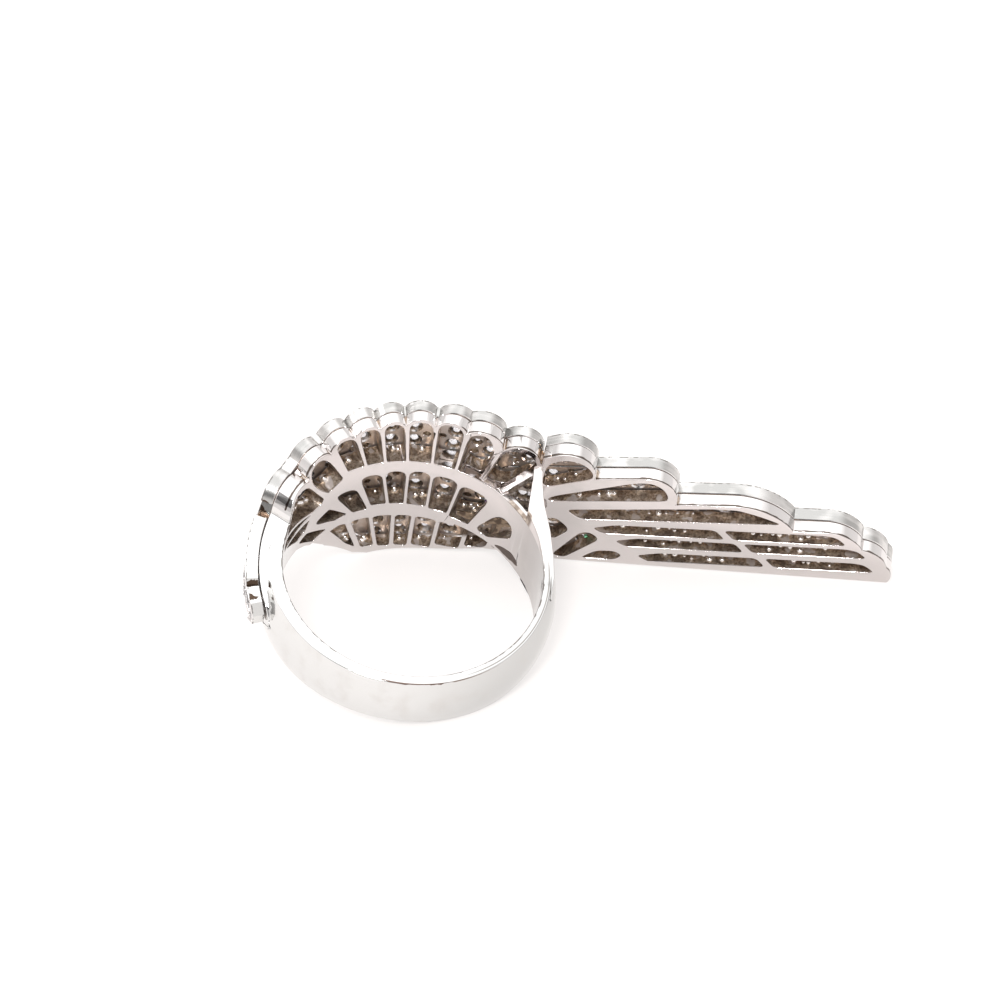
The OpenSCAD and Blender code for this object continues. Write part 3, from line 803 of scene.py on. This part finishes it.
def sides(loop):
    """An outline's sides, each as its two ends."""
    return np.stack([loop, np.roll(loop, -1, 0)], 1)


def room(spots, edges):
    """How far each spot is from the nearest of an outline's sides."""
    a, run = edges[:, 0], edges[:, 1] - edges[:, 0]
    long = np.maximum((run ** 2).sum(1), NEXT_TO_NOTHING)
    t = np.clip(((spots[:, None] - a) * run).sum(2) / long, 0, 1)
    return np.linalg.norm(spots[:, None] - (a + t[..., None] * run), axis=2).min(1)


def within(spots, edges):
    """Whether each spot lies inside an outline."""
    a, b = edges[:, 0], edges[:, 1]
    run = b - a
    rises = (a[:, 1] > spots[:, None, 1]) != (b[:, 1] > spots[:, None, 1])
    climb = np.where(run[:, 1] == 0, NEXT_TO_NOTHING, run[:, 1])
    crossing = a[:, 0] + (spots[:, None, 1] - a[:, 1]) / climb * run[:, 0]
    return (rises & (crossing > spots[:, None, 0])).sum(1) % 2 == 1


def narrowed(loop, amount):
    """An outline moved inwards, without the points that would cross over."""
    sharpest, slack, shortest = 0.15, 0.96, 0.015
    back, ahead = loop - np.roll(loop, 1, 0), np.roll(loop, -1, 0) - loop
    back = back[:, ::-1] * (-1, 1) / np.linalg.norm(back, axis=1)[:, None]
    ahead = ahead[:, ::-1] * (-1, 1) / np.linalg.norm(ahead, axis=1)[:, None]
    moved = loop + amount * (back + ahead) / np.maximum(1 + (back * ahead).sum(1), sharpest)[:, None]
    good = within(moved, sides(loop)) & (room(moved, sides(loop)) > amount * slack)
    moved = moved[good]
    apart = np.linalg.norm(np.roll(moved, -1, 0) - moved, axis=1) > shortest
    return moved[apart]


class Sheets:
    """Faces gathered from flat patches of a plate, each point with its distance outwards."""

    def __init__(self, radius):
        self.radius = radius
        self.points = []
        self.spread = []
        self.faces = []

    def put(self, flat, distance, faces, finish, outwards):
        """Adds faces over unrolled points, each point at its distance outwards."""
        start = len(self.points)
        self.points.extend(roll(flat, distance[:, None], self.radius)[0])
        self.spread.extend(np.c_[flat, distance].tolist())
        for face in faces:
            ordered = reversed(face) if outwards else face
            self.faces.append(([start + i for i in ordered], finish))

    def patch(self, outside, holes, finish, outwards):
        """Fills between an outline and its holes; each is a pair of a loop and its distance outwards."""
        loops = [outside] + list(holes)
        flat = np.concatenate([loop for loop, _ in loops])
        distance = np.concatenate([np.full(len(loop), d) for loop, d in loops])
        edges, start = [], 0
        for loop, _ in loops:
            edges += [(start + k, start + (k + 1) % len(loop)) for k in range(len(loop))]
            start += len(loop)
        found = delaunay_2d_cdt([Vector(p) for p in flat], edges, [], 0, 1e-7)
        places = np.array([tuple(p) for p in found[0]])
        height = np.array([distance[source[0]] if source else outside[1] for source in found[3]])
        faces = np.array([f for f in found[2] if len(f) == 3])
        middle = places[faces].mean(1)
        keep = within(middle, sides(outside[0]))
        for loop, _ in holes:
            near = (np.abs(middle - loop.mean(0)) <= np.ptp(loop, axis=0)).all(1) & keep
            keep[near] &= ~within(middle[near], sides(loop))
        self.put(places, height, [tuple(f) for f in faces[keep]], finish, outwards)

    def wall(self, outer_loop, outer_distance, inner_loop, inner_distance, finish, outwards):
        """Joins two loops with as many points each."""
        count = len(outer_loop)
        flat = np.concatenate([outer_loop, inner_loop])
        distance = np.concatenate([np.full(count, outer_distance), np.full(count, inner_distance)])
        faces = [(k, (k + 1) % count, count + (k + 1) % count, count + k) for k in range(count)]
        self.put(flat, distance, faces, finish, outwards)

    def mesh(self):
        """All the faces as one closed shell."""
        shell = bmesh.new()
        layer = shell.verts.layers.float_vector.new("spread")
        made = [shell.verts.new(p) for p in to_row(np.array(self.points))]
        for vert, spread in zip(made, self.spread):
            vert[layer] = spread
        for corners, finish in self.faces:
            try:
                shell.faces.new([made[i] for i in corners]).material_index = finish
            except ValueError:
                continue
        bmesh.ops.remove_doubles(shell, verts=shell.verts, dist=MERGE / 4)
        drop_slivers(shell)
        return shell


def circle(place, radius, count=14):
    """Points round a place of the unrolled plate."""
    turns = 2 * math.pi * np.arange(count) / count
    return place + radius * np.stack([np.cos(turns), np.sin(turns)], 1)


def set_places(loop, sizes, gap, taken=()):
    """Fills an outline with round stones, the largest first, each against the rim and its neighbours."""
    def with_stone(place, size):
        """How far each spot is from the three nearest things, once a stone lies at a place."""
        beyond = np.hypot(*(spots - place).T) - size - gap
        return np.sort(np.c_[near, beyond], axis=1)[:, :3]
    far_off, share_of_third = 2.0, 0.4
    edges = sides(loop)
    low, high = loop.min(0), loop.max(0)
    across, up = np.meshgrid(np.arange(low[0], high[0], GRID), np.arange(low[1], high[1], GRID))
    spots = np.stack([across.ravel(), up.ravel()], 1)
    spots = spots[within(spots, edges)]
    near = np.c_[room(spots, edges), np.full((len(spots), 2), far_off)]
    for place, size in taken:
        near = with_stone(place, size)
    found = []
    for size in sizes:
        while True:
            fits = np.flatnonzero(near[:, 0] >= size)
            if not fits.size:
                break
            score = near[fits, 0] + near[fits, 1] + share_of_third * near[fits, 2]
            best = spots[fits[np.argmin(score)]]
            found.append((best, size))
            near = with_stone(best, size)
    return found


def brilliant():
    """An old-cut brilliant of radius 1: table, stars, kites, halves, girdle at height 0 and wide culet."""
    def ring(count, radius, height, start=0.0):
        turns = [2 * math.pi * (k + start) / count for k in range(count)]
        return [(radius * math.cos(t), radius * math.sin(t), height) for t in turns]
    points = ring(8, 0.56, 0.30) + ring(8, 0.80, 0.18, 0.5) + ring(16, 1.0, 0.0) + ring(8, 0.30, -0.80)
    table, middle, girdle, culet = (range(*ends) for ends in ((0, 8), (8, 16), (16, 32), (32, 40)))
    faces = [tuple(table), tuple(reversed(culet))]
    for k in range(8):
        after = (k + 1) % 8
        faces.append((table[after], table[k], middle[k]))
        faces.append((table[k], middle[k - 1], girdle[2 * k], middle[k]))
        faces.append((middle[k], girdle[2 * k], girdle[2 * k + 1]))
        faces.append((middle[k], girdle[2 * k + 1], girdle[(2 * k + 2) % 16]))
    for k in range(8):
        after = (k + 1) % 8
        faces.append((girdle[2 * k + 1], girdle[2 * k], culet[k]))
        faces.append((girdle[(2 * k + 2) % 16], girdle[2 * k + 1], culet[k], culet[after]))
    return points, faces


def turned(profile, count):
    """A closed solid turned from (radius, height) pairs, the top first."""
    points = [(r * math.cos(2 * math.pi * k / count), r * math.sin(2 * math.pi * k / count), h)
              for r, h in profile for k in range(count)]
    faces = [tuple(range(count)), tuple(reversed(range((len(profile) - 1) * count, len(profile) * count)))]
    for row in range(len(profile) - 1):
        for k in range(count):
            after = (k + 1) % count
            upper, lower = row * count, (row + 1) * count
            faces.append((upper + k, lower + k, lower + after, upper + after))
    return points, faces


def master(name, points, faces):
    """A shape that is repeated; its object leaves the scene again at the end."""
    mesh = bpy.data.meshes.new(name)
    mesh.from_pydata(points, [], faces)
    return in_scene(name, mesh)


def setting_tree():
    """Geometry Nodes that put one shape at every point, turned to face outwards and scaled to its stone."""
    tree = bpy.data.node_groups.new("set_on_points", "GeometryNodeTree")
    inputs = {}
    for name, kind in (("Geometry", "NodeSocketGeometry"), ("Shape", "NodeSocketObject"),
                       ("Size", "NodeSocketFloat"), ("Finish", "NodeSocketMaterial")):
        inputs[name] = tree.interface.new_socket(name=name, in_out="INPUT", socket_type=kind).identifier
    tree.interface.new_socket(name="Geometry", in_out="OUTPUT", socket_type="NodeSocketGeometry")
    given = add(tree, "NodeGroupInput")
    shape = add(tree, "GeometryNodeObjectInfo", {"Object": given.outputs["Shape"]})
    facing, spin, radius = (
        add(tree, "GeometryNodeInputNamedAttribute", {"Name": name}, data_type=kind)
        for name, kind in (("facing", "FLOAT_VECTOR"), ("spin", "FLOAT"), ("radius", "FLOAT")))
    turn = add(tree, "FunctionNodeAxisAngleToRotation", {"Axis": (0, 0, 1), "Angle": spin})
    stand = add(tree, "FunctionNodeAlignRotationToVector", {"Rotation": turn, "Vector": facing}, axis="Z")
    scale = add(tree, "ShaderNodeMath", {0: radius, 1: given.outputs["Size"]}, operation="MULTIPLY")
    copies = add(tree, "GeometryNodeInstanceOnPoints", {
        "Points": given.outputs["Geometry"], "Instance": shape.outputs["Geometry"],
        "Rotation": stand, "Scale": scale})
    real = add(tree, "GeometryNodeRealizeInstances", {"Geometry": copies})
    finish = add(tree, "GeometryNodeSetMaterial", {"Geometry": real, "Material": given.outputs["Finish"]})
    add(tree, "NodeGroupOutput", {"Geometry": finish})
    return tree, inputs


def place_copies(name, shape, places, facing, sizes, finish):
    """Copies of a shape at places of the ring's frame, each at its own size, in mm, as one plain mesh."""
    all_sizes = 1.0
    mesh = bpy.data.meshes.new(name)
    mesh.from_pydata(to_row(places).tolist(), [], [])
    spins = np.random.default_rng(len(places)).uniform(0, 2 * math.pi, len(places))
    store(mesh, facing=direction_to_row(facing), radius=np.asarray(sizes, float) * MM, spin=spins)
    piece = in_scene(name, mesh)
    nodes = piece.modifiers.new("setting", "NODES")
    nodes.node_group = SETTING
    nodes[SETTING_INPUTS["Shape"]] = shape
    nodes[SETTING_INPUTS["Size"]] = all_sizes
    nodes[SETTING_INPUTS["Finish"]] = finish
    return applied(piece)


def make_plate(node, cuts):
    """A feather plate: a rim and a bright-cut wall round each feather, and stones set in the sunk field."""
    face_skin, back_skin, seat_skin, side_skin = range(4)
    past_ends = 99.0
    smallest_feather, smallest_field = 0.3, 0.15
    lowest_waist, neck_level = PLATE_BACK + 0.2, PLATE_BACK + 0.1
    stone_sunk = 0.03
    shell = merged_shell(node)
    outer = float(max(outward_distance(to_ring([v.co for v in shell.verts]))))
    outline = spaced(plate_outline(shell, outer), STEP)
    shell.free()
    limits = sorted(-math.radians(cut - 90) * outer if cut > LONGEST_WING_CUT else cut for cut in cuts)
    limits = [-past_ends] + limits + [past_ends]
    field_level = outer - FIELD_DROP
    sheets = Sheets(outer)
    eased = narrowed(outline, EASE)
    rims, stones, beads = [], [], []
    for low, high in zip(limits, limits[1:]):
        feather = strip(outline, low, high)
        if len(feather) < 3 or signed_area(feather) < smallest_feather:
            continue
        feather = spaced(feather, STEP)
        rim = narrowed(feather, RIM)
        field = narrowed(feather, RIM + BRIGHT_CUT)
        if len(field) < 4 or signed_area(field) < smallest_field:
            continue
        rims.append(rim)
        here = set_places(field, STONE_SIZES, STONE_GAP)
        stones += here
        beads += set_places(field, (BEAD_SIZE,), -BEAD_OVERLAP, here)
        seats = [(circle(place, SEAT_MOUTH * size), field_level) for place, size in here]
        sheets.patch((rim, outer), [(field, field_level)], face_skin, True)
        sheets.patch((field, field_level), seats, face_skin, True)
    for place, size in stones:
        mouth, waist, neck, back = (circle(place, part * size)
                                    for part in (SEAT_MOUTH, SEAT_WAIST, SEAT_NECK, BACK_HOLE))
        waist_level = max(field_level - SEAT_DEPTH * size, lowest_waist)
        sheets.wall(mouth, field_level, waist, waist_level, seat_skin, True)
        sheets.wall(waist, waist_level, neck, neck_level, seat_skin, True)
        sheets.wall(neck, neck_level, back, PLATE_BACK, face_skin, True)
    sheets.patch((eased, outer), [(rim, outer) for rim in rims], face_skin, True)
    sheets.patch((outline, outer - EASE), [(eased, outer)], face_skin, True)
    sheets.wall(outline, outer - EASE, outline, PLATE_BACK + EASE, side_skin, False)
    sheets.patch((outline, PLATE_BACK + EASE), [(eased, PLATE_BACK)], face_skin, False)
    holes = [(circle(place, BACK_HOLE * size), PLATE_BACK) for place, size in stones]
    sheets.patch((eased, PLATE_BACK), holes, back_skin, False)
    piece = finish_mesh(sheets.mesh(), node + "_metal", [PLATE, PLATE_BACK_SKIN, RECESS, SIDE])
    mark(piece, outer)
    places, facing = roll(np.array([s[0] for s in stones]), field_level - stone_sunk, outer)
    gems = place_copies(node + "_stones", BRILLIANT, places, facing, [s[1] for s in stones], STONE)
    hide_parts(node)
    parts = [piece, gems]
    if beads:
        places, facing = roll(np.array([b[0] for b in beads]), field_level, outer)
        grains = place_copies(node + "_beads", BEAD, places, facing, [b[1] for b in beads], PLATE)
        grains.data.shade_smooth()
        parts.append(grains)
    for made in parts:
        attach(made, "root")


place_camera()
light_room()
lay_floor(floor_material())
POLISHED = polished_material()
SEAMED = seamed_material()
RECESS = recess_material()
SIDE = side_material()
STONE = stone_material()

# Solder that ran into grains and stayed shiny, so each grain catches a point of light
GRAIN = metal("solder_grain", "#F0EDEB", 0.08, grain=0.10, grain_depth=0.0006, wave_depth=0.004)

# White gold between the stones, cut and rubbed bright by hand, so its shine is broken
PLATE = metal("paved_white_gold", "#E4E1E0", 0.16, grain=0.10, grain_depth=0.0010, wave_depth=0.012)

# The plates' backs as they were cast, duller and warmer than polished metal
PLATE_BACK_SKIN = metal("plate_back_skin", "#C2B6AE", 0.30, grain=0.10, grain_depth=0.0020, wave_depth=0.012,
                        metallic=0.7)

# Dull dark brown metal as painted shade: a sheet that stands in for a shaded recess under the finger hole's
# wall
RECESS_SHADE = metal("brown_tarnish", "#4E4038", 0.40, grain=0.16, grain_depth=0.0200, wave_depth=0.012,
                metallic=0.5)

SETTING, SETTING_INPUTS = setting_tree()
BRILLIANT = master("brilliant", *brilliant())
BEAD = master("bead", *turned([(0.35, 0.9), (0.8, 0.6), (1.0, 0.1), (0.95, -0.4)], 10))
make_shank_and_gallery()

# A skin's corners are degrees round the finger, leftwards from Y, and height; then its two faces' distances
closing_skin("window_skin", [(29.5, -9.2), (33.5, -9.0), (45.6, -6.35), (40.0, -5.75), (34.5, -5.95)],
             9.86, 9.96, RECESS)
# Painted shade: a dark sheet just under the finger hole's wall, low on the right, in place of a shaded
# recess
closing_skin("recess_floor", [(-35.6, -5.58), (-40.4, -4.92), (-47.3, -4.45), (-52.9, -4.72), (-52.3, -5.22),
                              (-45.0, -5.50)], 8.69, 8.79, RECESS_SHADE)
stone_flashes()

# Where a plate's feathers part: up to this number, mm along the wing, and above it, degrees from +X
LONGEST_WING_CUT = 20
make_plate("covert_tier_3", (91.1, 103.1, 113.7, 124.8, 137, 149, 161, 2.07, 4.54))
make_plate("covert_tier_2", (100.1, 111.5, 123.7, 135.8, 147.3, 0.03, 2.08, 4.6, 7.3))
make_plate("covert_tier_1", (94.0, 103.5, 113.6, 124.7, 135.9, 1.08, 3.18, 5.39))
make_plate("wrist_coverts", (10.15, 12.05))
for number in range(1, 7):
    make_plate("primary_%d" % number, ())
for shape in (BRILLIANT, BEAD):
    bpy.data.objects.remove(shape)
